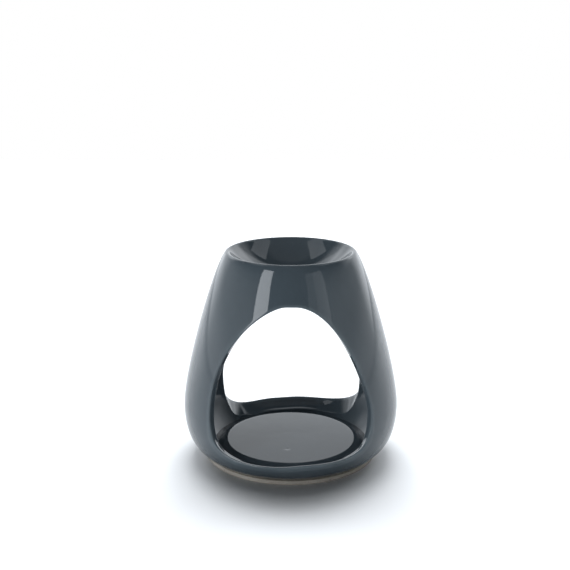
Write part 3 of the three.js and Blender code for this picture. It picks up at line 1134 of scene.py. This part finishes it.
@dataclass
class TealightSeat:
    """The flat round pad that the tealight stands on, with a small pit left by the potter."""

    form: Form
    edge_round: float = 1.2
    edge_steps: int = 12
    rings: int = 90
    pit_at: Pair = (-1.7, -15.0)
    pit_radius: float = 1.1
    pit_depth: float = 0.12

    def build(self, finishes: Finishes) -> Object:
        """Turns the pad and sinks the pit: depth times e to the minus squared distance over its radius."""
        form = self.form
        top, foot = form.seat_height, form.bowl_foot
        fall = math.atan2(form.seat_fall, form.seat_radius - form.seat_flat_radius)
        reach = self.edge_round
        ridge = (form.seat_flat_radius, top)
        beyond = (ridge[0] + reach * math.cos(fall), top - reach * math.sin(fall))
        rolled = cubic([(ridge[0] - reach, top), ridge, ridge, beyond], self.edge_steps)
        out = np.linspace(0.0, ridge[0] - reach, self.rings + 1)
        line = joined(
            np.stack([out, np.full_like(out, top)], axis=1),
            rolled,
            np.array([foot, [form.seat_radius, form.floor_height], [0.0, form.floor_height]]),
        )
        patch = turned_patch(line, form.around)
        distance = np.hypot(patch.points[:, 0] - self.pit_at[0], patch.points[:, 1] - self.pit_at[1])
        on_top = patch.points[:, 2] > top - WELD_MM
        patch.points[:, 2] -= on_top * self.pit_depth * np.exp(-((distance / self.pit_radius) ** 2))
        made = made_mesh("tealight_pad", [patch])
        return settled(made, "tealight_seat", finishes.seat)


@dataclass
class FootRing:
    """The bare ring that the burner stands on."""

    form: Form
    radius: float = 40.7
    bore: float = 33.0
    edge_round: float = 0.5
    steps: int = 8

    def build(self, finishes: Finishes) -> Object:
        """Turns a flat band with its four edges rounded."""
        low, high = self.edge_round, self.form.foot_height - self.edge_round
        left, right = self.bore + self.edge_round, self.radius - self.edge_round
        line = joined(
            arc((left, low), self.edge_round, 180, 270, self.steps),
            arc((right, low), self.edge_round, 270, 360, self.steps),
            arc((right, high), self.edge_round, 0, 90, self.steps),
            arc((left, high), self.edge_round, 90, 180, self.steps),
            np.array([[self.bore, low]]),
        )
        made = made_mesh("bare_foot_ring", [turned_patch(line, self.form.around)])
        return settled(made, "foot_ring", finishes.clay)


# Studio


@dataclass(frozen=True)
class Softbox:
    """A flat soft light that the camera doesn't see."""

    name: str
    radiance: float
    size: Pair
    at: Triple
    aim: Triple = (0.0, 0.0, 0.0)

    def pair(self) -> list[Softbox]:
        """The light mirrored to the left, and itself on the right."""
        (x, *place), (aim_x, *aim) = self.at, self.aim
        return [
            replace(self, name=f"{self.name}_{side}", at=(sign * x, *place), aim=(sign * aim_x, *aim))
            for side, sign in (("left", -1), ("right", 1))
        ]

    def build(self, lit: bpy.types.Collection) -> None:
        """Makes the light, which only the lit objects receive. Its power is radiance times area times pi."""
        lamp = bpy.data.lights.new(self.name, "AREA")
        lamp.shape = "RECTANGLE"
        lamp.size, lamp.size_y = self.size
        lamp.energy = self.radiance * self.size[0] * self.size[1] * math.pi
        lamp.color = DAYLIGHT
        made = placed(self.name, lamp)
        made.light_linking.receiver_collection = lit
        made.location = self.at
        made.rotation_euler = (Vector(self.aim) - Vector(self.at)).to_track_quat("-Z", "Y").to_euler()
        made.visible_camera = False


@dataclass(frozen=True)
class Glow:
    """A bright part of the room, as smooth steps over the direction: back, out to the right, up, and over.

    Each pair gives where the part starts and where it is full. Up and over both count upwards, so that a part
    can end at the one and start at the other.
    """

    radiance: float
    back: Pair | None = None
    out: Pair | None = None
    up: Pair | None = None
    over: Pair | None = None

    def add(self, nodes: Nodes, direction: dict[str, Socket], before: float | Socket) -> Socket:
        """Adds this part's radiance to what there was before.

        Args:
            nodes: The world's nodes.
            direction: The direction's x, y and z.
            before: Radiance so far.

        Returns:
            The sum.
        """
        mask = self.radiance
        for axis, limits in (("Y", self.back), ("X", self.out), ("Z", self.up), ("Z", self.over)):
            if limits:
                low, high = sorted(limits)
                to = (0.0, 1.0) if limits[0] == low else (1.0, 0.0)
                mask = nodes.product(nodes.ranged(direction[axis], low, high, to), mask)
        return nodes.maths("ADD", mask, before)


@dataclass
class Studio:
    """White sheet and room, soft lights in front and overhead, and the camera."""

    camera_place: Triple = (0.0, -0.471, 0.2069)
    camera_pitch: float = 14.82
    camera_reach: Pair = (0.01, 20.0)
    focal_pixels: float = 1044.8
    image_pixels: float = 570.0
    axis_pixel: float = 290.7
    sensor: float = 36.0
    sheet_size: float = 2.0
    sheet_colour: Triple = (0.9, 0.9, 0.9)
    sheet_bounce: Triple = (0.65, 0.65, 0.65)
    sheet_roughness: float = 0.6
    glows: tuple[Glow, ...] = (
        Glow(0.6, back=(0.42, 0.75), up=(0.56, 0.42)),
        Glow(0.4, back=(0.42, 0.75), out=(-0.7, -0.3), up=(0.56, 0.42)),
        Glow(0.8, back=(0.6, 0.68), over=(0.4, 0.5), up=(0.83, 0.72)),
        Glow(0.4, back=(0.8, 0.95), up=(0.4, 0.365)),
        Glow(0.8, back=(-0.82, -0.5), out=(-0.2, -0.6), up=(0.66, 0.15)),
        Glow(0.4, back=(-0.5, 0.0), out=(-0.2, -0.6), up=(0.14, 0.0)),
        Glow(0.65, back=(-0.75, -0.45), out=(0.2, 0.6), up=(0.65, 0.2)),
        Glow(0.35, back=(-0.5, 0.0), out=(0.2, 0.6), up=(0.14, 0.0)),
        Glow(0.9, back=(0.35, 0.6), out=(-0.25, -0.5), up=(0.75, 0.62), over=(0.3, 0.45)),
        Glow(0.8, back=(0.1, 0.55), out=(0.25, 0.5), up=(0.73, 0.6), over=(0.25, 0.42)),
        Glow(0.17, up=(0.85, 0.93)),
    )
    boxes: tuple[Softbox, ...] = (
        Softbox("front_left_box", 4.9, size=(0.40, 1.12), at=(-0.79, -0.903, 0.59), aim=(0.0, 0.0, 0.59)),
        Softbox("front_right_edge", 0.4, size=(0.27, 0.98), at=(0.63, -1.02, 0.52), aim=(0.0, 0.0, 0.52)),
        Softbox("front_right_box", 0.7, size=(0.36, 0.98), at=(0.87, -0.83, 0.52), aim=(0.0, 0.0, 0.52)),
        Softbox("overhead_left", 0.9, size=(0.36, 0.70), at=(-0.52, 0.22, 1.1), aim=(-0.52, 0.22, 0.0)),
        Softbox("overhead_right", 0.9, size=(0.38, 0.80), at=(0.62, 0.29, 1.1), aim=(0.62, 0.29, 0.0)),
    )
    sheet_pairs: tuple[Softbox, ...] = (
        Softbox("sheet", 9.0, size=(0.705, 0.705), at=(0.344, 0.737, 1.827)),
        Softbox("sheet_low", 7.0, size=(0.562, 0.562), at=(0.259, 0.966, 1.732)),
        Softbox("sheet_rear", 4.0, size=(0.3, 0.3), at=(0.4, 0.38, 0.35), aim=(0.4, 0.38, 0.0)),
        Softbox("sheet_side", 2.5, size=(0.3, 0.3), at=(0.5, 0.3, 0.6), aim=(0.5, 0.3, 0.0)),
    )

    def build(self, pieces: list[Object]) -> None:
        """Makes the whole studio round the burner's pieces."""
        bpy.context.scene.view_settings.view_transform = "Standard"
        burner, sheet = (bpy.data.collections.new(f"{name}_lights_reach") for name in ("burner", "sheet"))
        for piece in pieces:
            burner.objects.link(piece)
        sheet.objects.link(self._sheet())
        for box in self.boxes:
            box.build(burner)
        for pair in self.sheet_pairs:
            for box in pair.pair():
                box.build(sheet)
        self._world()
        self._camera()

    def _sheet(self) -> Object:
        """A white sheet under the burner."""
        half = self.sheet_size / 2
        square = [(x * half, y * half, 0.0) for x, y in ((-1, -1), (1, -1), (1, 1), (-1, 1))]
        mesh = bpy.data.meshes.new("white_sheet")
        mesh.from_pydata(square, [], [(0, 1, 2, 3)])
        sheet = placed("white_sheet", mesh)
        paper, nodes, shader = new_material("white_paper")
        seen = nodes.add("ShaderNodeLightPath").outputs["Is Camera Ray"]
        nodes.link(nodes.mixed(seen, self.sheet_bounce, self.sheet_colour), shader.inputs["Base Color"])
        shader.inputs["Roughness"].default_value = self.sheet_roughness
        sheet.data.materials.append(paper)
        return sheet

    def _world(self) -> None:
        """The room's glow by direction, and plain white where the camera looks at it."""
        world = bpy.data.worlds.new("white_room")
        world.use_nodes = True
        bpy.context.scene.world = world
        nodes = Nodes(world.node_tree)
        split = nodes.add("ShaderNodeSeparateXYZ")
        nodes.link(nodes.add("ShaderNodeTexCoord").outputs["Generated"], split.inputs[0])
        radiance = 0.0
        for glow in self.glows:
            radiance = glow.add(nodes, split.outputs, radiance)
        seen = nodes.add("ShaderNodeLightPath").outputs["Is Camera Ray"]
        sky = world.node_tree.nodes["Background"]
        nodes.link(nodes.mixed(seen, DAYLIGHT, WHITE), sky.inputs["Color"])
        unseen = nodes.product(nodes.maths("SUBTRACT", 1.0, seen), radiance)
        nodes.link(nodes.maths("ADD", unseen, seen), sky.inputs["Strength"])

    def _camera(self) -> None:
        """The camera: its lens from the focal length in pixels, its shift from the burner's axis."""
        lens = bpy.data.cameras.new("camera")
        lens.sensor_width = self.sensor
        lens.lens = self.focal_pixels * self.sensor / self.image_pixels
        lens.shift_x = (self.image_pixels / 2 - self.axis_pixel) / self.image_pixels
        lens.clip_start, lens.clip_end = self.camera_reach
        camera = placed("camera", lens)
        camera.location = self.camera_place
        camera.rotation_euler = (math.radians(90 - self.camera_pitch), 0.0, 0.0)
        bpy.context.scene.camera = camera


def main() -> None:
    """Loads the frame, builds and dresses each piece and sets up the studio."""
    logging.basicConfig(level=logging.INFO, format="%(name)s: %(message)s")
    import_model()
    form, finishes = Form(), Finishes.made()
    sub_assemblies = (BurnerWall(form), OilDish(form), BurnerFloor(form), TealightSeat(form), FootRing(form))
    Studio().build([sub_assembly.build(finishes) for sub_assembly in sub_assemblies])


if __name__ == "__main__":
    main()
